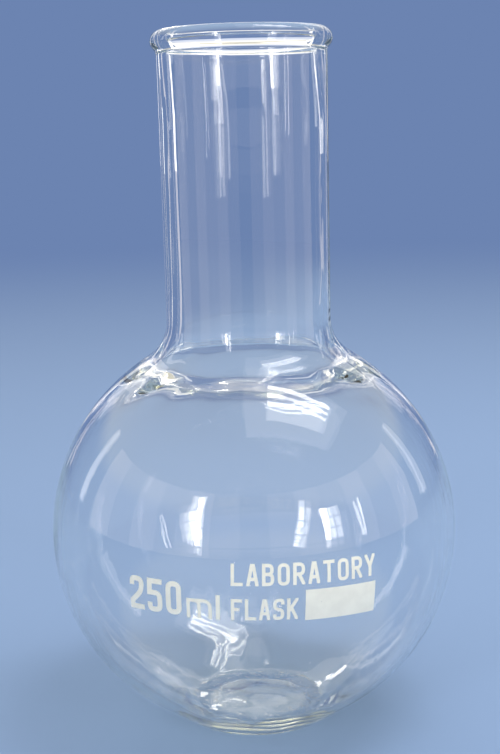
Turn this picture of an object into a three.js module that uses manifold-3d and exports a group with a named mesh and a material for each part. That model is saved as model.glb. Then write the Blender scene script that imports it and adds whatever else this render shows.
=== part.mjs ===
// A 250 ml flat-bottomed boiling flask with a beaded rim, standing on its base.
//
// Millimetres, +Z up. The origin is the centre of the base, on the surface that the flask
// stands on, and the enamel marks face -Y.
//
// The glass is blown and tooled in one piece, so it is one solid of revolution: its outline
// runs from the axis under the base, up the outside, over the beaded rim, and down the inside
// to the axis again. The marks are enamel that is printed and fired onto the bulb, and each
// separate deposit is a thin solid of its own.

import * as THREE from 'three';
import { mergeVertices } from 'three/addons/utils/BufferGeometryUtils.js';
import Module from 'manifold-3d';

const wasm = await Module();
wasm.setup();

// ---- Driving dimensions: glass ----

const flaskHeight = 144.2;

const bulbRadius = 42.5;
const bulbCentre = new THREE.Vector2(0, 40.9);
const bulbWall = 1.5;

// Under the bulb the flat base turns up through the heel, and leaves it at this slope.
const puntRadius = 10.5;
const puntDepth = 0.7;
const baseFlatRadius = 14.4;
const heelRadius = 4;
const heelSlope = 35;
const floorHeight = 2.4;
const floorRise = 0.6;
const floorFilletRadius = 5;

// The sphere gives way to a flatter shoulder this far from the top, in degrees.
const shoulderStart = 41;
const shoulderRadius = 51;
const neckFilletRadius = 8.75;

const neckRadiusBottom = 17.1;
const neckRadiusTop = 17.35;
const neckWall = 2;

// Where the neck was drawn out of the shoulder the glass is thicker, which leaves a ridge inside.
const junctionWall = 2.6;

const beadRadius = 2.35;
const rimOuterRadius = 18.45;
const beadFootRadius = 1.2;
const lipRadius = 1.2;

const turnSteps = 48;
const bulbStep = 8;
const tightStep = 18;

// ---- Driving dimensions: enamel ----

const enamelGap = 0.15;
const enamelThickness = 0.2;

// The print is laid out flat, in millimetres along the bulb's surface, to the right of and
// above the point of the bulb's equator that faces -Y, and it slopes down to the right a little.
const printTilt = -0.022;
const patchSize = new THREE.Vector2(14.5, 6.05);
const patchCorner = new THREE.Vector2(9.4, -6.75);

const lines = [
  {
    name: 'capacity_digit', text: '250', left: -25.15, base: -6.1,
    height: 6.6, width: 3.15, pitch: 3.95, pen: 1,
  },
  { name: 'unit_m', text: 'm', left: -13.1, base: -6.35, height: 3.9, width: 4.9, pitch: 0, pen: 0.68 },
  { name: 'unit_l', text: 'l', left: -7.45, base: -6.35, height: 4.85, width: 0.8, pitch: 0, pen: 0.8 },
  {
    name: 'upper_letter', text: 'LABORATORY', left: -4.6, base: 0.4,
    height: 4.2, width: 2.25, pitch: 2.9, pen: 0.64,
  },
  {
    name: 'lower_letter', text: 'FLASK', left: -4.6, base: -6.35,
    height: 4.2, width: 2.1, pitch: 2.62, pen: 0.62,
  },
];

// ---- Materials ----

function clearGlass() {
  return new THREE.MeshStandardMaterial({ color: 0xdfe8ea, roughness: 0.03, metalness: 0 });
}

function creamEnamel() {
  return new THREE.MeshStandardMaterial({ color: 0xe4e3d6, roughness: 0.45, metalness: 0 });
}

// ---- Outline of the glass, as radius from the axis and height ----

function polar(centre, radius, degrees) {
  const angle = THREE.MathUtils.degToRad(degrees);
  return new THREE.Vector2(centre.x + radius * Math.cos(angle), centre.y + radius * Math.sin(angle));
}

// Angles are in degrees: 0 points away from the axis and 90 points up. A different end radius
// makes the arc spiral evenly, which is how the wall changes its thickness.
function arc(centre, radius, from, to, step, endRadius = radius) {
  const steps = Math.max(2, Math.ceil(Math.abs(to - from) / step));
  const points = [];
  for (let i = 0; i <= steps; i += 1) {
    const along = i / steps;
    const radiusHere = radius + (endRadius - radius) * along;
    points.push(polar(centre, radiusHere, from + (to - from) * along));
  }
  return points;
}

// A shallow dome about the axis, from its crown out to its edge.
function dome(edgeRadius, edgeHeight, rise) {
  const radius = (edgeRadius ** 2 + rise ** 2) / (2 * rise);
  const halfAngle = THREE.MathUtils.radToDeg(Math.asin(edgeRadius / radius));
  const centre = new THREE.Vector2(0, edgeHeight + rise - radius);
  return arc(centre, radius, 90, 90 - halfAngle, bulbStep);
}

function angleOf(centre, target) {
  return THREE.MathUtils.radToDeg(Math.atan2(target.y - centre.y, target.x - centre.x));
}

// Where arcs meet, the shared point is kept once.
function joinArcs(arcs) {
  const joined = [];
  for (const point of arcs.flat()) {
    const last = joined[joined.length - 1];
    if (!last || last.distanceTo(point) > 0.01) joined.push(point);
  }
  return joined;
}

function outerWall() {
  const heelCentre = new THREE.Vector2(baseFlatRadius, heelRadius);
  const shoulderTurn = 90 - shoulderStart;
  const shoulderCentre = polar(bulbCentre, bulbRadius - shoulderRadius, shoulderTurn);
  const reach = shoulderRadius + neckFilletRadius;
  const filletCentre = new THREE.Vector2(neckRadiusBottom + neckFilletRadius, 0);
  filletCentre.y = shoulderCentre.y + Math.sqrt(reach ** 2 - (filletCentre.x - shoulderCentre.x) ** 2);
  const neckTurn = angleOf(shoulderCentre, filletCentre);
  return {
    shoulderCentre, shoulderTurn, filletCentre, neckTurn,
    arcs: [
      dome(puntRadius, 0, puntDepth),
      arc(heelCentre, heelRadius, -90, heelSlope - 90, tightStep),
      arc(bulbCentre, bulbRadius, heelSlope - 90, shoulderTurn, bulbStep),
      arc(shoulderCentre, shoulderRadius, shoulderTurn, neckTurn, bulbStep),
      arc(filletCentre, neckFilletRadius, neckTurn - 180, -180, tightStep),
    ],
  };
}

function rim() {
  const lipCentre = new THREE.Vector2(neckRadiusTop - neckWall + lipRadius, flaskHeight - lipRadius);
  const beadCentre = new THREE.Vector2(rimOuterRadius - beadRadius, 0);
  const inset = lipCentre.x - beadCentre.x;
  beadCentre.y = lipCentre.y - Math.sqrt((beadRadius - lipRadius) ** 2 - inset ** 2);
  const footCentre = new THREE.Vector2(neckRadiusTop + beadFootRadius, 0);
  const reach = beadRadius + beadFootRadius;
  footCentre.y = beadCentre.y - Math.sqrt(reach ** 2 - (footCentre.x - beadCentre.x) ** 2);
  const footTurn = angleOf(footCentre, beadCentre);
  const lipTurn = angleOf(beadCentre, lipCentre);
  return [
    arc(footCentre, beadFootRadius, 180, footTurn, tightStep),
    arc(beadCentre, beadRadius, footTurn - 180, lipTurn, tightStep),
    arc(lipCentre, lipRadius, lipTurn, 180, tightStep),
  ];
}

function innerWall(outer) {
  const radius = bulbRadius - bulbWall;
  const cornerCentre = new THREE.Vector2(0, floorHeight + floorFilletRadius);
  const reach = radius - floorFilletRadius;
  cornerCentre.x = Math.sqrt(reach ** 2 - (bulbCentre.y - cornerCentre.y) ** 2);
  const cornerTurn = angleOf(bulbCentre, cornerCentre);
  const filletTop = neckFilletRadius + neckWall;
  const filletFoot = neckFilletRadius + junctionWall;
  const ridge = shoulderRadius - junctionWall;
  const shoulderInner = shoulderRadius - bulbWall;
  return [
    arc(outer.filletCentre, filletTop, -180, outer.neckTurn - 180, tightStep, filletFoot),
    arc(outer.shoulderCentre, ridge, outer.neckTurn, outer.shoulderTurn, bulbStep, shoulderInner),
    arc(bulbCentre, radius, outer.shoulderTurn, cornerTurn, bulbStep),
    arc(cornerCentre, floorFilletRadius, cornerTurn, -90, tightStep),
    dome(cornerCentre.x, floorHeight, floorRise).reverse(),
  ];
}

function flaskBody() {
  const outer = outerWall();
  const outline = joinArcs([...outer.arcs, ...rim(), ...innerWall(outer)]);
  const geometry = new THREE.LatheGeometry(outline, turnSteps);
  geometry.rotateX(Math.PI / 2);
  const mesh = new THREE.Mesh(geometry, clearGlass());
  mesh.name = 'flask_body';
  return mesh;
}

// ---- Plain condensed letters, drawn as pen strokes ----

// A stroke is the middle line of the pen in a cell 1 wide and 1 tall. A corner with a third
// value is rounded. A stroke that ends by running into the cell's edge is cut off along it.
const round = 1;
const ring = [[0, 0, round], [1, 0, round], [1, 1, round], [0, 1, round]];

const glyphs = {
  0: [{ closed: true, corners: ring }],
  2: [{ corners: [[0, 0.76], [0, 1, round], [1, 1, round], [1, 0.58, round], [0, 0.2], [0, 0], [1, 0]] }],
  5: [{ corners: [[1, 1], [0, 1], [0, 0.6], [1, 0.6, round], [1, 0, round], [0, 0, round], [0, 0.24]] }],
  m: [
    { corners: [[0, 0], [0, 1], [0.5, 1, round], [0.5, 0]] },
    { corners: [[0.35, 1], [1, 1, round], [1, 0]] },
  ],
  l: [{ corners: [[0, 0], [0, 1]] }],
  A: [
    { corners: [[0, 0], [0.4, 1], [0.6, 1], [1, 0]] },
    { corners: [[0.2, 0.28], [0.8, 0.28]] },
  ],
  B: [
    { closed: true, corners: [[0, 0.53], [0.94, 0.53, round], [0.94, 1, round], [0, 1]] },
    { closed: true, corners: [[0, 0], [1, 0, round], [1, 0.53, round], [0, 0.53]] },
  ],
  F: [
    { corners: [[1, 1], [0, 1], [0, 0]] },
    { corners: [[0, 0.52], [0.85, 0.52]] },
  ],
  K: [
    { corners: [[0, 0], [0, 1]] },
    { corners: [[1, 1], [0.06, 0.4]] },
    { corners: [[0.34, 0.58], [1, 0]] },
  ],
  L: [{ corners: [[0, 1], [0, 0], [1, 0]] }],
  O: [{ closed: true, corners: ring }],
  R: [
    { closed: true, corners: [[0, 0.48], [1, 0.48, round], [1, 1, round], [0, 1]] },
    { corners: [[0, 0.48], [0, 0]] },
    { corners: [[0.5, 0.48], [1, 0]] },
  ],
  S: [{
    corners: [
      [1, 0.78], [1, 1, round], [0, 1, round], [0, 0.53, round],
      [1, 0.47, round], [1, 0, round], [0, 0, round], [0, 0.22],
    ],
  }],
  T: [
    { corners: [[0, 1], [1, 1]] },
    { corners: [[0.5, 0], [0.5, 1]] },
  ],
  Y: [
    { corners: [[0, 1], [0.5, 0.45], [1, 1]] },
    { corners: [[0.5, 0], [0.5, 0.45]] },
  ],
};

const cornerSteps = 4;

function cellPoint([x, y], line) {
  const across = line.pen / 2 + x * (line.width - line.pen);
  const up = line.pen / 2 + y * (line.height - line.pen);
  return new THREE.Vector2(across, up);
}

function towards(from, to, distance) {
  return to.clone().sub(from).setLength(distance).add(from);
}

function runsOut([x, y], [fromX, fromY]) {
  const next = [x + 0.01 * (x - fromX), y + 0.01 * (y - fromY)];
  return Math.min(...next) < 0 || Math.max(...next) > 1;
}

// The corners in millimetres. An end that runs out of the cell is carried on past its edge.
function strokeCorners(stroke, line) {
  const cell = stroke.corners;
  const corners = cell.map((corner) => cellPoint(corner, line));
  if (stroke.closed) return corners;
  for (const [end, next] of [[0, 1], [cell.length - 1, cell.length - 2]]) {
    if (runsOut(cell[end], cell[next])) {
      const length = corners[end].distanceTo(corners[next]) + line.pen;
      corners[end] = towards(corners[next], corners[end], length);
    }
  }
  return corners;
}

// The pen's middle line, with its rounded corners turned into curves.
function middleLine(stroke, line) {
  const corners = strokeCorners(stroke, line);
  const count = corners.length;
  return corners.flatMap((corner, i) => {
    if (!stroke.corners[i][2]) return [corner];
    const before = corners[(i + count - 1) % count];
    const after = corners[(i + 1) % count];
    const turn = 0.49 * Math.min(corner.distanceTo(before), corner.distanceTo(after), line.width);
    const start = towards(corner, before, turn);
    const end = towards(corner, after, turn);
    return new THREE.QuadraticBezierCurve(start, corner, end).getPoints(cornerSteps);
  });
}

// The points of one side of the pen: a mitred copy of its middle line.
function penSide(points, closed, offset) {
  const count = points.length;
  return points.map((point, i) => {
    const before = closed || i > 0 ? points[(i + count - 1) % count] : null;
    const after = closed || i < count - 1 ? points[(i + 1) % count] : null;
    const into = (before ? point.clone().sub(before) : after.clone().sub(point)).normalize();
    const out = (after ? after.clone().sub(point) : point.clone().sub(before)).normalize();
    const normal = new THREE.Vector2(-into.y - out.y, into.x + out.x).normalize();
    const stretch = normal.x * -into.y + normal.y * into.x;
    return point.clone().addScaledVector(normal, offset / stretch);
  });
}

function strokeShape(stroke, line) {
  const points = middleLine(stroke, line);
  const outer = penSide(points, stroke.closed, -line.pen / 2);
  const inner = penSide(points, stroke.closed, line.pen / 2);
  if (!stroke.closed) return new THREE.Shape([...outer, ...inner.reverse()]);
  const shape = new THREE.Shape(outer);
  shape.holes.push(new THREE.Path(inner));
  return shape;
}

function toSolid(geometry) {
  const bare = geometry.clone();
  bare.deleteAttribute('normal');
  bare.deleteAttribute('uv');
  const merged = mergeVertices(bare);
  return new wasm.Manifold(new wasm.Mesh({
    numProp: 3,
    vertProperties: new Float32Array(merged.attributes.position.array),
    triVerts: new Uint32Array(merged.index.array),
  }));
}

function fromSolid(solid) {
  const mesh = solid.getMesh();
  const geometry = new THREE.BufferGeometry();
  geometry.setAttribute('position', new THREE.BufferAttribute(mesh.vertProperties, 3));
  geometry.setIndex(new THREE.BufferAttribute(mesh.triVerts, 1));
  return geometry;
}

function cellSolid(line) {
  const geometry = new THREE.BoxGeometry(line.width, line.height, 2 * enamelThickness);
  geometry.translate(line.width / 2, line.height / 2, enamelThickness / 2);
  return toSolid(geometry);
}

function glyphGeometry(letter, line) {
  const strokes = glyphs[letter].map((stroke) => {
    const options = { depth: enamelThickness, bevelEnabled: false };
    return toSolid(new THREE.ExtrudeGeometry(strokeShape(stroke, line), options));
  });
  const joined = strokes.reduce((whole, stroke) => whole.add(stroke));
  return fromSolid(joined.intersect(cellSolid(line)));
}

// ---- Enamel on the bulb ----

// Bends a flat solid round the bulb: x runs to the right, y up, and z out of the glass.
function bendOntoBulb(geometry) {
  const position = geometry.attributes.position;
  for (let i = 0; i < position.count; i += 1) {
    const x = position.getX(i) - printTilt * position.getY(i);
    const y = position.getY(i) + printTilt * position.getX(i);
    const turn = x / bulbRadius;
    const rise = y / bulbRadius;
    const reach = bulbRadius + enamelGap + position.getZ(i);
    position.setXYZ(
      i,
      reach * Math.cos(rise) * Math.sin(turn),
      -reach * Math.cos(rise) * Math.cos(turn),
      bulbCentre.y + reach * Math.sin(rise),
    );
  }
  geometry.computeVertexNormals();
  return geometry;
}

function enamelMesh(geometry, name) {
  const mesh = new THREE.Mesh(bendOntoBulb(geometry), creamEnamel());
  mesh.name = name;
  return mesh;
}

function letterMeshes(line) {
  return [...line.text].map((letter, i) => {
    const geometry = glyphGeometry(letter, line);
    geometry.translate(line.left + i * line.pitch, line.base, 0);
    const name = line.text.length > 1 ? `${line.name}_${i + 1}` : line.name;
    return enamelMesh(geometry, name);
  });
}

function writingPatch() {
  const geometry = new THREE.BoxGeometry(patchSize.x, patchSize.y, enamelThickness, 8, 3, 1);
  geometry.translate(
    patchCorner.x + patchSize.x / 2,
    patchCorner.y + patchSize.y / 2,
    enamelThickness / 2,
  );
  return enamelMesh(geometry, 'writing_patch');
}

const group = new THREE.Group();
group.add(flaskBody());
group.add(writingPatch());
for (const line of lines) group.add(...letterMeshes(line));

export default group;
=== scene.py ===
# The looks of a 250 ml flat-bottomed boiling flask: blown glass and fired enamel marks.
# Metres, +Z up, and the marks face -Y. Sizes are named in millimetres and turned into metres.
import math

import bmesh
import bpy
import numpy as np
from mathutils import Matrix, Vector, noise


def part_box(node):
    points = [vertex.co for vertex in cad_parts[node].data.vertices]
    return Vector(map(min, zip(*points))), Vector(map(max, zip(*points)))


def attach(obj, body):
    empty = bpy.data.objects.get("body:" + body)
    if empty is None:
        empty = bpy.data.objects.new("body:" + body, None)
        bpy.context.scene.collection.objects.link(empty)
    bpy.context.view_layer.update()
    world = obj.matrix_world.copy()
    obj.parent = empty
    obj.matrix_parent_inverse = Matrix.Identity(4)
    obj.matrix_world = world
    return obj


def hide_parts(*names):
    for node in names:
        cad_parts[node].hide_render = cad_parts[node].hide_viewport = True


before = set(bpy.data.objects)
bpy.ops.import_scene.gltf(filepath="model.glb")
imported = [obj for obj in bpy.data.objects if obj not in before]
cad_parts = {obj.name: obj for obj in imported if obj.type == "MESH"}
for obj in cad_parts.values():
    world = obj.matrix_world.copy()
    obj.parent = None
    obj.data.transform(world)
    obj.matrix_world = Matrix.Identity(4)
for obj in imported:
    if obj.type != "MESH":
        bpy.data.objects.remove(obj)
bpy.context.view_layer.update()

MM = 0.001


def new_object(name, data):
    thing = bpy.data.objects.new(name, data)
    bpy.context.scene.collection.objects.link(thing)
    return thing


# ---- Sizes from the frame, in millimetres ----

body_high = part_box("flask_body")[1]
FLASK_HEIGHT = body_high.z / MM
BULB_RADIUS = body_high.x / MM

# ---- Sizes of the glass, in millimetres and degrees ----

BULB_CENTRE = (0.0, 40.9)
BULB_WALL = 1.5

# The heel turns up out of the flat base until the wall has this slope.
PUNT_RADIUS = 10.5
PUNT_DEPTH = 0.7
BASE_FLAT_RADIUS = 14.4
HEEL_RADIUS = 4.0
HEEL_SLOPE = 35.0
FLOOR_HEIGHT = 2.4
FLOOR_RISE = 0.6
FLOOR_FILLET_RADIUS = 5.0

# The shoulder starts this far down from the bulb's top.
SHOULDER_START = 41.0
SHOULDER_RADIUS = 51.0
NECK_FILLET_RADIUS = 8.75

NECK_RADIUS_BOTTOM = 17.1
NECK_RADIUS_TOP = 17.35
NECK_WALL = 2.0
JUNCTION_WALL = 2.6

BEAD_RADIUS = 2.35
RIM_OUTER_RADIUS = 18.45
BEAD_FOOT_RADIUS = 1.2
LIP_RADIUS = 1.2

# Steps to a whole turn about the axis, and from a dome's crown to its edge.
TURN_STEPS = 224
DOME_STEPS = 14

# Steps along the outline: degrees on the bulb and on tight arcs, millimetres on straight lines.
BULB_STEP = 1.5
TIGHT_STEP = 6.0
STRAIGHT_STEP = 1.5

# Outline points closer than this are one point, and a radius below this is on the axis.
JOIN_DISTANCE = 0.01
AXIS_DISTANCE = 0.001


# ---- Outline of the glass, as (radius from the axis, height) in millimetres ----

def polar(centre, radius, degrees):
    angle = math.radians(degrees)
    return (centre[0] + radius * math.cos(angle), centre[1] + radius * math.sin(angle))


def smooth(share):
    return share * share * (3 - 2 * share)


def gather(share):
    """Slow at first: the wall thickens towards the end of an arc."""
    return share * share


def arc(centre, radius, start, end, step, end_radius=None, change=smooth):
    """0 degrees points away from the axis and 90 up. A different end radius changes the wall."""
    end_radius = radius if end_radius is None else end_radius
    steps = max(2, math.ceil(abs(end - start) / step))
    points = []
    for i in range(steps + 1):
        share = i / steps
        here = radius + (end_radius - radius) * change(share)
        points.append(polar(centre, here, start + (end - start) * share))
    return points


def line(start, end, step):
    steps = max(1, math.ceil(math.dist(start, end) / step))
    return [tuple(np.array(start) + (np.array(end) - start) * i / steps) for i in range(steps + 1)]


def dome(edge_radius, edge_height, rise):
    """A shallow dome about the axis, from its crown out to its edge."""
    radius = (edge_radius ** 2 + rise ** 2) / (2 * rise)
    half_angle = math.degrees(math.asin(edge_radius / radius))
    centre = (0.0, edge_height + rise - radius)
    return arc(centre, radius, 90, 90 - half_angle, half_angle / DOME_STEPS)


def angle_of(centre, target):
    return math.degrees(math.atan2(target[1] - centre[1], target[0] - centre[0]))


def rise_between(centre, across, reach):
    """The height between a centre and a point so far out from the axis, at a reach from the centre."""
    return math.sqrt(reach ** 2 - (across - centre[0]) ** 2)


def neck_fillet_centre():
    across = NECK_RADIUS_BOTTOM + NECK_FILLET_RADIUS
    rise = rise_between(SHOULDER_CENTRE, across, SHOULDER_RADIUS + NECK_FILLET_RADIUS)
    return (across, SHOULDER_CENTRE[1] + rise)


SHOULDER_TURN = 90 - SHOULDER_START
SHOULDER_CENTRE = polar(BULB_CENTRE, BULB_RADIUS - SHOULDER_RADIUS, SHOULDER_TURN)
FILLET_CENTRE = neck_fillet_centre()
NECK_TURN = angle_of(SHOULDER_CENTRE, FILLET_CENTRE)


def outer_wall():
    """From the middle of the base out and up to the foot of the neck."""
    heel_centre = (BASE_FLAT_RADIUS, HEEL_RADIUS)
    heel_end = polar(heel_centre, HEEL_RADIUS, HEEL_SLOPE - 90)
    bulb_start = polar(BULB_CENTRE, BULB_RADIUS, HEEL_SLOPE - 90)
    return [
        dome(PUNT_RADIUS, 0.0, PUNT_DEPTH),
        line((PUNT_RADIUS, 0.0), (BASE_FLAT_RADIUS, 0.0), STRAIGHT_STEP),
        arc(heel_centre, HEEL_RADIUS, -90, HEEL_SLOPE - 90, TIGHT_STEP),
        line(heel_end, bulb_start, STRAIGHT_STEP),
        arc(BULB_CENTRE, BULB_RADIUS, HEEL_SLOPE - 90, SHOULDER_TURN, BULB_STEP),
        arc(SHOULDER_CENTRE, SHOULDER_RADIUS, SHOULDER_TURN, NECK_TURN, BULB_STEP),
        arc(FILLET_CENTRE, NECK_FILLET_RADIUS, NECK_TURN - 180, -180, TIGHT_STEP),
    ]


def bead_centre():
    across = RIM_OUTER_RADIUS - BEAD_RADIUS
    return (across, LIP_CENTRE[1] - rise_between(LIP_CENTRE, across, BEAD_RADIUS - LIP_RADIUS))


def bead_foot_centre():
    across = NECK_RADIUS_TOP + BEAD_FOOT_RADIUS
    return (across, BEAD_CENTRE[1] - rise_between(BEAD_CENTRE, across, BEAD_RADIUS + BEAD_FOOT_RADIUS))


LIP_CENTRE = (NECK_RADIUS_TOP - NECK_WALL + LIP_RADIUS, FLASK_HEIGHT - LIP_RADIUS)
BEAD_CENTRE = bead_centre()
BEAD_FOOT_CENTRE = bead_foot_centre()


def neck_and_rim():
    """Up the outside of the neck, over the rim and down the inside of the neck."""
    foot_turn = angle_of(BEAD_FOOT_CENTRE, BEAD_CENTRE)
    lip_turn = angle_of(BEAD_CENTRE, LIP_CENTRE)
    neck_foot = (NECK_RADIUS_BOTTOM, FILLET_CENTRE[1])
    neck_head = (NECK_RADIUS_TOP, BEAD_FOOT_CENTRE[1])
    inner_head = (NECK_RADIUS_TOP - NECK_WALL, LIP_CENTRE[1])
    inner_foot = (NECK_RADIUS_BOTTOM - NECK_WALL, FILLET_CENTRE[1])
    return [
        line(neck_foot, neck_head, STRAIGHT_STEP),
        arc(BEAD_FOOT_CENTRE, BEAD_FOOT_RADIUS, 180, foot_turn, TIGHT_STEP),
        arc(BEAD_CENTRE, BEAD_RADIUS, foot_turn - 180, lip_turn, TIGHT_STEP),
        arc(LIP_CENTRE, LIP_RADIUS, lip_turn, 180, TIGHT_STEP),
        line(inner_head, inner_foot, STRAIGHT_STEP),
    ]


def inner_wall():
    """From the foot of the neck down to the middle of the floor inside."""
    radius = BULB_RADIUS - BULB_WALL
    corner_height = FLOOR_HEIGHT + FLOOR_FILLET_RADIUS
    reach = radius - FLOOR_FILLET_RADIUS
    corner = (math.sqrt(reach ** 2 - (BULB_CENTRE[1] - corner_height) ** 2), corner_height)
    corner_turn = angle_of(BULB_CENTRE, corner)
    fillet_top = NECK_FILLET_RADIUS + NECK_WALL
    fillet_foot = NECK_FILLET_RADIUS + JUNCTION_WALL
    ridge = SHOULDER_RADIUS - JUNCTION_WALL
    shoulder_inner = SHOULDER_RADIUS - BULB_WALL
    return [
        arc(FILLET_CENTRE, fillet_top, -180, NECK_TURN - 180, TIGHT_STEP, fillet_foot, gather),
        arc(SHOULDER_CENTRE, ridge, NECK_TURN, SHOULDER_TURN, BULB_STEP / 2, shoulder_inner),
        arc(BULB_CENTRE, radius, SHOULDER_TURN, corner_turn, BULB_STEP),
        arc(corner, FLOOR_FILLET_RADIUS, corner_turn, -90, TIGHT_STEP),
        dome(corner[0], FLOOR_HEIGHT, FLOOR_RISE)[::-1],
    ]


def join_arcs(arcs):
    """Where arcs meet, the shared point is kept once."""
    joined = []
    for point in [p for piece in arcs for p in piece]:
        if not joined or math.dist(joined[-1], point) > JOIN_DISTANCE:
            joined.append(point)
    return joined


# ---- Blown glass: the inside is a little uneven ----

# Each cord: its repeats about the neck, its depth in millimetres and its phase in degrees.
CORDS = (
    (1, 0.60, 180),
    (2, 0.06, 200),
    (3, 0.05, 290),
    (5, 0.04, 130),
    (8, 0.03, 60),
    (13, 0.02, 20),
    (21, 0.012, 300),
)
CORD_DRIFT = 0.35
CORD_DRIFT_LENGTH = 23.0

# Each wave: its length and its depth, in millimetres.
BULB_WAVE = (19.0, 0.16)
JUNCTION_WAVE = (7.0, 0.30)
FLOOR_WAVE = (8.0, 0.42)

# Heights between which the cords and waves grow or fade, in millimetres.
NECK_GROWS = (78, 98)
JUNCTION_GROWS = (68, 74)
JUNCTION_FADES = (78, 84)
FLOOR_FADES = (3, 12)

# Rings of points, from the lip down, over which the unevenness sets in.
LIP_RINGS = 12


def ramp(value, low, high):
    """0 up to the low value and 1 from the high one."""
    return smooth(min(max((value - low) / (high - low), 0), 1))


def wave(point, length, depth):
    return depth * noise.noise(Vector(point) / length)


def cords_at(azimuth, height):
    """The cords' depth at a place in the neck. It drifts on the way up."""
    drift = 1 + CORD_DRIFT * math.sin(height / CORD_DRIFT_LENGTH)
    cords = 0.0
    for turns, depth, phase in CORDS:
        cords += depth * math.cos(turns * azimuth - math.radians(phase))
    return cords * drift


def inner_swell(point, azimuth):
    """How far the inside stands in from its outline, in millimetres, at a point in millimetres."""
    height = point[2]
    in_neck = ramp(height, *NECK_GROWS)
    at_junction = ramp(height, *JUNCTION_GROWS) * (1 - ramp(height, *JUNCTION_FADES))
    on_floor = 1 - ramp(height, *FLOOR_FADES)
    swell = in_neck * cords_at(azimuth, height)
    swell += (1 - in_neck) * wave(point, *BULB_WAVE)
    swell += at_junction * wave(point, *JUNCTION_WAVE)
    return swell + on_floor * wave(point, *FLOOR_WAVE)


def outline_normals(outline):
    points = np.array(outline)
    along = np.gradient(points, axis=0)
    along /= np.linalg.norm(along, axis=1)[:, None]
    return np.stack([along[:, 1], -along[:, 0]], axis=1)


def turned(radius, height, azimuth):
    return (radius * math.cos(azimuth), radius * math.sin(azimuth), height)


def ring(point, normal, unevenness):
    """One turn of a point of the outline. On the axis it is a single point."""
    radius, height = point
    if radius < AXIS_DISTANCE:
        return [turned(radius, height, 0.0)]
    points = []
    for k in range(TURN_STEPS):
        azimuth = 2 * math.pi * k / TURN_STEPS
        swell = unevenness * inner_swell(turned(radius, height, azimuth), azimuth)
        points.append(turned(radius + swell * normal[0], height + swell * normal[1], azimuth))
    return points


def faces_between(lower, upper):
    """The faces between two rings of vertex numbers: triangles where one ring is a single point."""
    faces = []
    for k in range(TURN_STEPS):
        after = (k + 1) % TURN_STEPS
        corners = ((lower, k), (lower, after), (upper, after), (upper, k))
        faces.append(list(dict.fromkeys(row[place % len(row)] for row, place in corners)))
    return faces


def lathe(name, outline, inside_from):
    """Turns the outline about the axis. Points from inside_from on are the inside, which is uneven."""
    verts = []
    rows = []
    for i, (point, normal) in enumerate(zip(outline, outline_normals(outline))):
        points = ring(point, normal, ramp(i, inside_from, inside_from + LIP_RINGS))
        rows.append(range(len(verts), len(verts) + len(points)))
        verts += [[c * MM for c in p] for p in points]
    faces = [face for lower, upper in zip(rows, rows[1:]) for face in faces_between(lower, upper)]
    mesh = bpy.data.meshes.new(name)
    mesh.from_pydata(verts, [], faces)
    mesh.validate()
    mesh.shade_smooth()
    return new_object(name, mesh)


def flask_glass():
    outside = outer_wall() + neck_and_rim()
    before_inside = join_arcs(outside[:-1])
    outline = join_arcs(outside + inner_wall())
    piece = lathe("flask_glass", outline, len(before_inside))
    piece.data.materials.append(borosilicate())
    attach(piece, "root")
    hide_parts("flask_body")


# ---- Enamel: each mark is brought down onto the glass and made as thin as a fired print ----

ENAMEL_LIFT = 0.01
ENAMEL_THICKNESS = 0.05

# The faces are cut a millimetre apart, across X and across Z.
ENAMEL_CUT = 1.0
CUT_AXES = (0, 2)

# In metres, as the mesh is.
CUT_TOLERANCE = 1e-7
MERGE_DISTANCE = 1e-6


def store_levels(mesh, centre):
    """Keeps how high up in its mark each vertex is: 0 at the foot and 1 at the face."""
    reaches = [(vert.co - centre).length for vert in mesh.verts]
    low = min(reaches)
    high = max(reaches)
    level = mesh.verts.layers.float.new("level")
    for vert, reach in zip(mesh.verts, reaches):
        vert[level] = (reach - low) / (high - low)
    return level


def cut_into_strips(mesh, axis, pitch):
    """Cuts every face along planes across an axis, so that flat faces can follow the bulb."""
    places = [vert.co[axis] for vert in mesh.verts]
    normal = Vector((0, 0, 0))
    normal[axis] = 1
    for k in range(math.floor(min(places) / pitch) + 1, math.ceil(max(places) / pitch)):
        geometry = mesh.verts[:] + mesh.edges[:] + mesh.faces[:]
        place = normal * k * pitch
        bmesh.ops.bisect_plane(mesh, geom=geometry, plane_co=place, plane_no=normal, dist=CUT_TOLERANCE)


def lay_on_bulb(mesh, centre, level):
    """Moves each vertex to its level in a coat of even thickness on the bulb."""
    for vert in mesh.verts:
        reach = (BULB_RADIUS + ENAMEL_LIFT + ENAMEL_THICKNESS * vert[level]) * MM
        vert.co = centre + (vert.co - centre).normalized() * reach


def enamel_mark(node, material):
    centre = Vector((0, 0, BULB_CENTRE[1] * MM))
    mesh = bmesh.new()
    mesh.from_mesh(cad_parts[node].data)
    bmesh.ops.remove_doubles(mesh, verts=mesh.verts, dist=MERGE_DISTANCE)
    level = store_levels(mesh, centre)
    for axis in CUT_AXES:
        cut_into_strips(mesh, axis, ENAMEL_CUT * MM)
    lay_on_bulb(mesh, centre, level)
    bmesh.ops.dissolve_degenerate(mesh, edges=mesh.edges, dist=MERGE_DISTANCE)
    data = bpy.data.meshes.new("enamel_" + node)
    mesh.to_mesh(data)
    mesh.free()
    data.materials.append(material)
    piece = new_object("enamel_" + node, data)
    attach(piece, "root")
    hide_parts(node)


def enamel_marks():
    coat = enamel()
    for node in sorted(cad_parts):
        if node != "flask_body":
            enamel_mark(node, coat)


# ---- Shader helpers ----

def new_material(name):
    material = bpy.data.materials.new(name)
    material.use_nodes = True
    material.node_tree.nodes.clear()
    return material, material.node_tree


def add(tree, kind, **values):
    node = tree.nodes.new(kind)
    for key, value in values.items():
        setattr(node, key, value)
    return node


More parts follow.
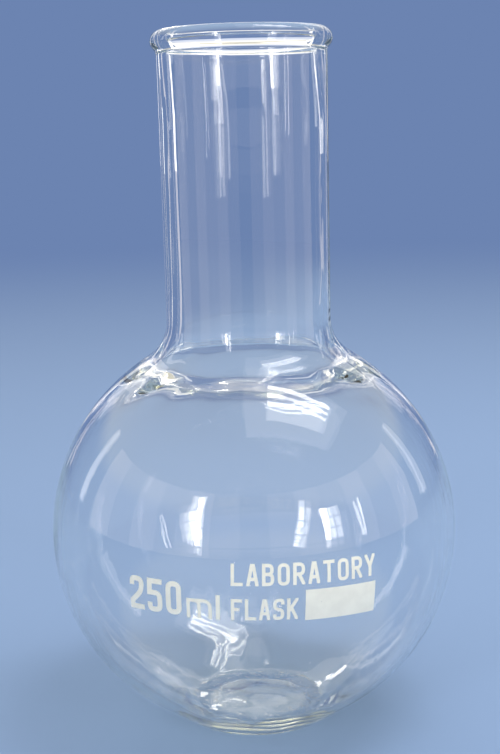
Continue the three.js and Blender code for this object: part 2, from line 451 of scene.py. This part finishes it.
def noise_texture(tree, place, scale, detail):
    texture = add(tree, "ShaderNodeTexNoise")
    texture.inputs["Scale"].default_value = scale
    texture.inputs["Detail"].default_value = detail
    tree.links.new(place, texture.inputs["Vector"])
    return texture.outputs["Fac"]


def remap(tree, value, before, after=(0.0, 1.0)):
    """Maps one range onto another, and holds values outside it. A range may run downwards."""
    node = add(tree, "ShaderNodeMapRange")
    for socket, end in zip(("From Min", "From Max", "To Min", "To Max"), (*before, *after)):
        node.inputs[socket].default_value = end
    tree.links.new(value, node.inputs["Value"])
    return node.outputs["Result"]


def combine(tree, operation, first, second):
    node = add(tree, "ShaderNodeMath", operation=operation)
    for socket, value in zip(node.inputs, (first, second)):
        if isinstance(value, float):
            socket.default_value = value
        else:
            tree.links.new(value, socket)
    return node.outputs["Value"]


def blend_colours(tree, factor, first, second):
    node = add(tree, "ShaderNodeMix", data_type="RGBA")
    tree.links.new(factor, node.inputs["Factor"])
    for socket, colour in ((node.inputs["A"], first), (node.inputs["B"], second)):
        if isinstance(colour, tuple):
            socket.default_value = (*colour, 1)
        else:
            tree.links.new(colour, socket)
    return node.outputs["Result"]


def mix_shaders(tree, factor, first, second):
    node = add(tree, "ShaderNodeMixShader")
    tree.links.new(factor, node.inputs["Fac"])
    tree.links.new(first, node.inputs[1])
    tree.links.new(second, node.inputs[2])
    return node.outputs["Shader"]


def bump(tree, height, distance, strength):
    node = add(tree, "ShaderNodeBump")
    node.inputs["Distance"].default_value = distance
    node.inputs["Strength"].default_value = strength
    tree.links.new(height, node.inputs["Height"])
    return node.outputs["Normal"]


# ---- Glass ----

GLASS_INDEX = 1.474
GLASS_TINT = (0.945, 0.95, 0.87)
TINT_DENSITY = 50.0

# How much soft light the glass lets through face on and edge on.
THROUGH_FACE = (0.97, 0.975, 0.965)
THROUGH_EDGE = (0.45, 0.46, 0.45)
THROUGH_BLEND = 0.35

# Each noise has a scale, in repeats to a metre, and a detail. A cut is the part of it that counts.
SMUDGE_NOISE = (55.0, 3.0)
SMUDGE_CUT = (0.52, 0.75)
SMUDGE_ROUGHNESS = 0.035

# There are no scuffs above the first height, in metres, and all of them below the second.
SCUFF_HEIGHTS = (0.0007, 0.0001)
SCUFF_NOISE = (500.0, 4.0)
SCUFF_CUT = (0.40, 0.60)
SCUFF_LEAST = 0.2
SCUFF_ROUGHNESS = 0.3

# The ripples' noise is drawn out along the axis. Their depth is in metres.
RIPPLE_NOISE = (260.0, 2.0)
RIPPLE_STRETCH = 0.12
RIPPLE_DEPTH = 0.0001
RIPPLE_STRENGTH = 0.25


def scuffed_foot(tree, place):
    """Fine scratches where the glass rests: 1 on the foot's worn ring and 0 above it."""
    split = add(tree, "ShaderNodeSeparateXYZ")
    tree.links.new(place, split.inputs["Vector"])
    near_table = remap(tree, split.outputs["Z"], SCUFF_HEIGHTS)
    patchy = remap(tree, noise_texture(tree, place, *SCUFF_NOISE), SCUFF_CUT, (SCUFF_LEAST, 1.0))
    return combine(tree, "MULTIPLY", near_table, patchy)


def glass_roughness(tree, place):
    smears = noise_texture(tree, place, *SMUDGE_NOISE)
    smudges = remap(tree, smears, SMUDGE_CUT, (0.0, SMUDGE_ROUGHNESS))
    scuffs = combine(tree, "MULTIPLY", scuffed_foot(tree, place), SCUFF_ROUGHNESS)
    return combine(tree, "ADD", smudges, scuffs)


def drawing_lines(tree, place):
    """Faint ripples along the neck and round the bulb, left by drawing and turning the hot glass."""
    stretch = add(tree, "ShaderNodeMapping")
    stretch.inputs["Scale"].default_value = (1, 1, RIPPLE_STRETCH)
    tree.links.new(place, stretch.inputs["Vector"])
    ripples = noise_texture(tree, stretch.outputs["Vector"], *RIPPLE_NOISE)
    return bump(tree, ripples, RIPPLE_DEPTH, RIPPLE_STRENGTH)


def light_through_glass(tree):
    """For light on its way to a matt surface: glass lets it through, less of it edge on."""
    facing = add(tree, "ShaderNodeLayerWeight")
    facing.inputs["Blend"].default_value = THROUGH_BLEND
    through = add(tree, "ShaderNodeBsdfTransparent")
    colour = blend_colours(tree, facing.outputs["Facing"], THROUGH_FACE, THROUGH_EDGE)
    tree.links.new(colour, through.inputs["Color"])
    return through.outputs["BSDF"]


def glass_tint(tree):
    tint = add(tree, "ShaderNodeVolumeAbsorption")
    tint.inputs["Color"].default_value = (*GLASS_TINT, 1)
    tint.inputs["Density"].default_value = TINT_DENSITY
    return tint.outputs["Volume"]


def borosilicate():
    material, tree = new_material("borosilicate_glass")
    links = tree.links
    output = add(tree, "ShaderNodeOutputMaterial")
    place = add(tree, "ShaderNodeTexCoord").outputs["Object"]
    glass = add(tree, "ShaderNodeBsdfPrincipled")
    glass.inputs["Base Color"].default_value = (1, 1, 1, 1)
    glass.inputs["IOR"].default_value = GLASS_INDEX
    glass.inputs["Transmission Weight"].default_value = 1.0
    links.new(glass_roughness(tree, place), glass.inputs["Roughness"])
    links.new(drawing_lines(tree, place), glass.inputs["Normal"])
    path = add(tree, "ShaderNodeLightPath")
    soft_light = combine(tree, "MAXIMUM", path.outputs["Is Shadow Ray"], path.outputs["Is Diffuse Ray"])
    surface = mix_shaders(tree, soft_light, glass.outputs["BSDF"], light_through_glass(tree))
    links.new(surface, output.inputs["Surface"])
    links.new(glass_tint(tree), output.inputs["Volume"])
    return material


# ---- Fired enamel ----

ENAMEL_THICK = (0.86, 0.85, 0.74)
ENAMEL_THIN = (0.80, 0.79, 0.69)
ENAMEL_PIT = (0.62, 0.62, 0.58)

# Clouds of thicker and thinner enamel, and its roughness where it is thin and where it is thick.
CLOUD_NOISE = (420.0, 5.0)
CLOUD_CUT = (0.35, 0.65)
ENAMEL_ROUGHNESS = (0.55, 0.36)

# Pits lie in cells, so many to a metre. Each has an edge, in shares of a cell, and only some are there.
PIT_SCALE = 850.0
PIT_EDGE = (0.11, 0.05)
PIT_NOISE = (300.0, 2.0)
PIT_CUT = (0.50, 0.58)

# Grain and pits make the relief, whose depth is in metres. The grain is so many times as high as a pit.
GRAIN_NOISE = (3200.0, 3.0)
GRAIN_HEIGHT = 0.5
RELIEF_DEPTH = 0.00003
RELIEF_STRENGTH = 0.5


def pinholes(tree, place):
    """Small round pits where the enamel didn't cover: 1 in a pit and 0 on sound enamel."""
    cells = add(tree, "ShaderNodeTexVoronoi")
    cells.inputs["Scale"].default_value = PIT_SCALE
    tree.links.new(place, cells.inputs["Vector"])
    pits = remap(tree, cells.outputs["Distance"], PIT_EDGE)
    some = remap(tree, noise_texture(tree, place, *PIT_NOISE), PIT_CUT)
    return combine(tree, "MULTIPLY", pits, some)


def enamel():
    material, tree = new_material("fired_enamel")
    links = tree.links
    output = add(tree, "ShaderNodeOutputMaterial")
    place = add(tree, "ShaderNodeTexCoord").outputs["Object"]
    shader = add(tree, "ShaderNodeBsdfPrincipled")
    cloud = remap(tree, noise_texture(tree, place, *CLOUD_NOISE), CLOUD_CUT)
    grain = combine(tree, "MULTIPLY", noise_texture(tree, place, *GRAIN_NOISE), GRAIN_HEIGHT)
    pits = pinholes(tree, place)
    coat = blend_colours(tree, cloud, ENAMEL_THIN, ENAMEL_THICK)
    links.new(blend_colours(tree, pits, coat, ENAMEL_PIT), shader.inputs["Base Color"])
    links.new(remap(tree, cloud, (0.0, 1.0), ENAMEL_ROUGHNESS), shader.inputs["Roughness"])
    relief = combine(tree, "SUBTRACT", grain, pits)
    links.new(bump(tree, relief, RELIEF_DEPTH, RELIEF_STRENGTH), shader.inputs["Normal"])
    links.new(shader.outputs["BSDF"], output.inputs["Surface"])
    return material


# ---- Floor and sky ----

FLOOR_COLOUR = (0.24, 0.36, 0.62)
FLOOR_ROUGHNESS = 0.8
FLOOR_GLOSS = 0.15
FLOOR_RADIUS = 3.0
FLOOR_SIDES = 128

# A painted falloff of light: between these distances from the flask, the floor fades from lit paper
# into a painted glow in the backdrop's colour.
FADE_START = 0.20
FADE_END = 1.30
BACKDROP = (0.15, 0.23, 0.44)
CEILING = (0.72, 0.69, 0.60)

# The sine of the elevation at which the backdrop ends and at which the ceiling starts.
BACKDROP_TOP = 0.25
CEILING_START = 0.42


def paper(tree):
    shader = add(tree, "ShaderNodeBsdfPrincipled")
    shader.inputs["Base Color"].default_value = (*FLOOR_COLOUR, 1)
    shader.inputs["Roughness"].default_value = FLOOR_ROUGHNESS
    shader.inputs["Specular IOR Level"].default_value = FLOOR_GLOSS
    return shader.outputs["BSDF"]


# The far floor glows in the backdrop's colour: painted light, not lit by any lamp.
def painted_backdrop_glow(tree):
    shader = add(tree, "ShaderNodeEmission")
    shader.inputs["Color"].default_value = (*BACKDROP, 1)
    return shader.outputs["Emission"]


def painted_light_falloff(tree):
    """Mask of the painted falloff of light on the floor: 0 near the flask and 1 far from it."""
    place = add(tree, "ShaderNodeNewGeometry")
    distance = add(tree, "ShaderNodeVectorMath", operation="LENGTH")
    tree.links.new(place.outputs["Position"], distance.inputs[0])
    fade = add(tree, "ShaderNodeMapRange", interpolation_type="SMOOTHSTEP")
    fade.inputs["From Min"].default_value = FADE_START
    fade.inputs["From Max"].default_value = FADE_END
    tree.links.new(distance.outputs["Value"], fade.inputs["Value"])
    return fade.outputs["Result"]


def floor_paper_with_painted_falloff():
    """Pale paper near the flask that fades evenly into a painted glow in the backdrop's colour further
    out. This painted falloff of light stands in for a studio sweep darkening away from its lamps.
    """
    material, tree = new_material("floor_paper_with_painted_falloff")
    output = add(tree, "ShaderNodeOutputMaterial")
    # Painted falloff of light: lit paper near the flask, a painted glow far from it.
    surface = mix_shaders(tree, painted_light_falloff(tree), paper(tree), painted_backdrop_glow(tree))
    tree.links.new(surface, output.inputs["Surface"])
    return material


def floor():
    mesh = bmesh.new()
    bmesh.ops.create_circle(mesh, cap_ends=True, segments=FLOOR_SIDES, radius=FLOOR_RADIUS)
    data = bpy.data.meshes.new("floor")
    mesh.to_mesh(data)
    mesh.free()
    data.materials.append(floor_paper_with_painted_falloff())
    piece = new_object("floor", data)


def sky():
    """The backdrop's colour low down, and a paler ceiling above it."""
    world = bpy.data.worlds.new("studio")
    bpy.context.scene.world = world
    world.use_nodes = True
    tree = world.node_tree
    tree.nodes.clear()
    output = add(tree, "ShaderNodeOutputWorld")
    light = add(tree, "ShaderNodeBackground")
    place = add(tree, "ShaderNodeTexCoord")
    split = add(tree, "ShaderNodeSeparateXYZ")
    colours = add(tree, "ShaderNodeValToRGB")
    colours.color_ramp.interpolation = "EASE"
    stops = ((BACKDROP_TOP, BACKDROP), (CEILING_START, CEILING))
    for stop, (position, colour) in zip(colours.color_ramp.elements, stops):
        stop.position = position
        stop.color = (*colour, 1)
    tree.links.new(place.outputs["Generated"], split.inputs["Vector"])
    tree.links.new(split.outputs["Z"], colours.inputs["Fac"])
    tree.links.new(colours.outputs["Color"], light.inputs["Color"])
    tree.links.new(light.outputs["Background"], output.inputs["Surface"])


# ---- Lamps, in metres and degrees ----

# The far lamps stand at one distance, and their elevations are taken from a point in the flask.
LAMP_COLOUR = (1.0, 0.96, 0.88)
LAMP_DISTANCE = 2.0
LAMP_MIDDLE = 0.07


def point_at(lamp, place, target):
    lamp.location = place
    lamp.rotation_euler = (Vector(target) - Vector(place)).to_track_quat("-Z", "Y").to_euler()


def softbox(name, place, target, width, height, glow):
    """A rectangular lamp with the same glow, its radiance, whatever its size."""
    light = bpy.data.lights.new(name, "AREA")
    light.shape = "RECTANGLE"
    light.size = width
    light.size_y = height
    light.energy = glow * math.pi * width * height
    light.color = LAMP_COLOUR
    lamp = new_object(name, light)
    point_at(lamp, place, target)
    lamp.visible_camera = False
    return lamp


def around(azimuth, distance, height):
    """A point about the flask. Azimuth 0 is the side of the marks, and 90 degrees is +X."""
    turn = math.radians(azimuth)
    return (distance * math.sin(turn), -distance * math.cos(turn), height)


def lamp_height(elevation):
    return LAMP_MIDDLE + LAMP_DISTANCE * math.tan(math.radians(elevation))


def lamp_width(spread):
    return LAMP_DISTANCE * math.radians(spread)


# Cards stand close about the flask and are mirrored in its glass, as the walls of a room are.
# Their glows are listed from left to right, and there is no card where the glow is 0.
CARD_DISTANCE = 0.30
CARD_LOW = 0.035
CARD_HIGH = 0.22
CARD_SPREAD = 15.0
CARD_COLOUR = (1.0, 0.86, 0.70)
CARD_GLOWS = (1.5, 0.8, 1.8, 1.1, 1.5, 0.6, 0.0, 0.7, 1.4, 1.0, 1.8, 0.9, 1.5)

# Behind the flask are thin bright edges. The thick sides of the neck bend them into view.
EDGE_AZIMUTHS = (-157.0, -144.0, 144.0, 157.0)
EDGE_SPREAD = 2.5
EDGE_GLOW = 0.6


def card(name, azimuth, spread, glow):
    """A card lights nothing. It is only seen in the glass."""
    middle = (CARD_LOW + CARD_HIGH) / 2
    place = around(azimuth, CARD_DISTANCE, middle)
    width = CARD_DISTANCE * math.radians(spread)
    lamp = softbox(name, place, (0, 0, middle), width, CARD_HIGH - CARD_LOW, glow)
    lamp.data.color = CARD_COLOUR
    lamp.visible_diffuse = False
    return lamp


def cards():
    first = -CARD_SPREAD * (len(CARD_GLOWS) - 1) / 2
    for i, glow in enumerate(CARD_GLOWS):
        if glow > 0:
            wall = card(f"card_{i}", first + CARD_SPREAD * i, CARD_SPREAD, glow)
            wall.visible_transmission = False
    for i, azimuth in enumerate(EDGE_AZIMUTHS):
        card(f"edge_{i}", azimuth, EDGE_SPREAD, EDGE_GLOW)


# A window is columns of panes above a dim sill. A pane fills most of its place, and bars the rest.
PANE_SHARE = 0.92
WINDOW_PANES = 3
WINDOW_COLUMN = 3.4
WINDOW_SILL = 2.6
WINDOW_FOOT = -1.2
SILL_DIMMING = 6

# Each window has a name, its columns' azimuths and glows, and the elevation of its top.
WINDOWS = (
    ("left_window", ((-35.0, 5.0), (-31.0, 30.0)), 28.0),
    ("right_window", ((40.0, 30.0), (44.0, 7.0), (48.0, 5.0)), 19.0),
)


def upright_strip(name, azimuth, spread, low, high, glow, panes=1):
    """A strip of panes that faces the flask, from a low to a high elevation."""
    width = lamp_width(spread)
    bottom = lamp_height(low)
    pitch = (lamp_height(high) - bottom) / panes
    lamps = []
    for i in range(panes):
        height = bottom + (i + 0.5) * pitch
        place = around(azimuth, LAMP_DISTANCE, height)
        lamps.append(softbox(f"{name}_{i}", place, (0, 0, height), width, pitch * PANE_SHARE, glow))
    return lamps


def window(name, columns, top):
    for i, (azimuth, glow) in enumerate(columns):
        sill_glow = glow / SILL_DIMMING
        upright_strip(f"{name}_{i}", azimuth, WINDOW_COLUMN, WINDOW_SILL, top, glow, WINDOW_PANES)
        upright_strip(f"{name}_sill_{i}", azimuth, WINDOW_COLUMN, WINDOW_FOOT, WINDOW_SILL, sill_glow)


# Each strip has a name, an azimuth, a spread, a lowest and a highest elevation, and a glow.
STRIPS = (
    ("right_slit", 63.0, 1.2, 0.0, 19.0, 12.0),
    ("left_side", -115.0, 5.0, 0.0, 30.0, 1.6),
    ("right_rim", 159.0, 3.0, -1.5, 30.0, 1.2),
    ("right_side", 115.0, 5.0, 0.0, 30.0, 1.6),
    ("left_rim", 201.0, 3.0, -1.5, 30.0, 1.2),
    ("back_light", 195.0, 14.0, 25.0, 29.0, 12.0),
    ("back_fill", 180.0, 90.0, 14.0, 26.0, 0.6),
)

# The front is a wide wall. Each of its bands has a name, a lowest and a highest elevation, and a glow.
FRONT_AZIMUTH = 5.0
FRONT_SPREAD = 130.0
FRONT_BANDS = (
    ("front_foot", -1.9, -1.1, 0.15),
    ("front_low", -1.1, 0.2, 0.35),
    ("front_middle", 0.2, 2.0, 0.6),
    ("front_high", 2.0, 22.0, 0.8),
)


def front_wall():
    """The front wall is mirrored in the glass, but isn't seen through it from behind."""
    for name, low, high, glow in FRONT_BANDS:
        for lamp in upright_strip(name, FRONT_AZIMUTH, FRONT_SPREAD, low, high, glow):
            lamp.visible_transmission = False


# A wide card stands high behind the flask. The thick glass of the heel gathers it into a pale ring.
HIGH_CARD_AZIMUTH = 180.0
HIGH_CARD_SPREAD = 80.0
HIGH_CARD_LOW = 28.0
HIGH_CARD_HIGH = 46.0
HIGH_CARD_GLOW = 1.4


def high_card():
    low = lamp_height(HIGH_CARD_LOW)
    high = lamp_height(HIGH_CARD_HIGH)
    middle = (low + high) / 2
    place = around(HIGH_CARD_AZIMUTH, LAMP_DISTANCE, middle)
    width = lamp_width(HIGH_CARD_SPREAD)
    lamp = softbox("high_card", place, (0, 0, middle), width, high - low, HIGH_CARD_GLOW)
    lamp.visible_diffuse = False


# Lamps that look straight down, each with its place, its width and depth, and its glow.
OVERHEAD_LIGHTS = (
    ((0.33, -0.07, 0.85), (0.45, 0.035), 12.0),
    ((0.33, 0.00, 0.85), (0.45, 0.035), 12.0),
    ((0.33, 0.07, 0.85), (0.45, 0.035), 12.0),
    ((0.36, -0.08, 0.90), (0.50, 0.34), 2.2),
    ((0.38, -0.12, 0.95), (0.86, 0.66), 0.9),
)


def overhead_lights():
    for i, ((x, y, z), (width, depth), glow) in enumerate(OVERHEAD_LIGHTS):
        softbox(f"overhead_{i}", (x, y, z), (x, y, 0), width, depth, glow)


# The bulb gathers light from above into a patch on the floor. A narrow spotlight stands for it.
PATCH_LAMP_PLACE = (0.0, 0.0, 0.9)
PATCH_PLACE = (-0.004, 0.002, 0.0)
PATCH_POWER = 3.0
PATCH_SPREAD = 2.6
PATCH_BLEND = 0.7
PATCH_LAMP_RADIUS = 0.01


def gathered_light():
    light = bpy.data.lights.new("gathered_light", "SPOT")
    light.energy = PATCH_POWER
    light.color = LAMP_COLOUR
    light.spot_size = math.radians(PATCH_SPREAD)
    light.spot_blend = PATCH_BLEND
    light.shadow_soft_size = PATCH_LAMP_RADIUS
    lamp = new_object("gathered_light", light)
    point_at(lamp, PATCH_LAMP_PLACE, PATCH_PLACE)
    lamp.visible_camera = False
    lamp.visible_glossy = False
    lamp.visible_transmission = False


def studio_lights():
    for name, columns, top in WINDOWS:
        window(name, columns, top)
    for name, azimuth, spread, low, high, glow in STRIPS:
        upright_strip(name, azimuth, spread, low, high, glow)
    front_wall()
    overhead_lights()
    cards()
    high_card()
    gathered_light()


# ---- Camera and render ----

# The camera stands close, a little below the rim, and looks down. Its lens is in millimetres.
CAMERA_PLACE = (0.0, -0.2926, 0.1243)
CAMERA_PITCH = 9.95
CAMERA_ROLL = 1.5
CAMERA_LENS = 67.6
CAMERA_SENSOR = 36
CAMERA_NEAREST = 0.01

# Light that is guided along inside the wall turns many times before it gets out.
MOST_BOUNCES = 64
MOST_REFLECTIONS = 48
MOST_TRANSMISSIONS = 24


def camera():
    data = bpy.data.cameras.new("camera")
    data.lens = CAMERA_LENS
    data.sensor_width = CAMERA_SENSOR
    data.clip_start = CAMERA_NEAREST
    view = new_object("camera", data)
    pitch = Matrix.Rotation(math.radians(90 - CAMERA_PITCH), 4, "X")
    roll = Matrix.Rotation(math.radians(-CAMERA_ROLL), 4, "Z")
    view.matrix_world = Matrix.Translation(CAMERA_PLACE) @ pitch @ roll
    bpy.context.scene.camera = view


def render_settings():
    scene = bpy.context.scene
    scene.cycles.use_denoising = True
    scene.cycles.max_bounces = MOST_BOUNCES
    scene.cycles.glossy_bounces = MOST_REFLECTIONS
    scene.cycles.transmission_bounces = MOST_TRANSMISSIONS
    scene.cycles.transparent_max_bounces = MOST_TRANSMISSIONS
    scene.cycles.caustics_refractive = False
    scene.cycles.caustics_reflective = False
    scene.view_settings.view_transform = "Standard"


camera()
flask_glass()
enamel_marks()
floor()
sky()
studio_lights()
render_settings()
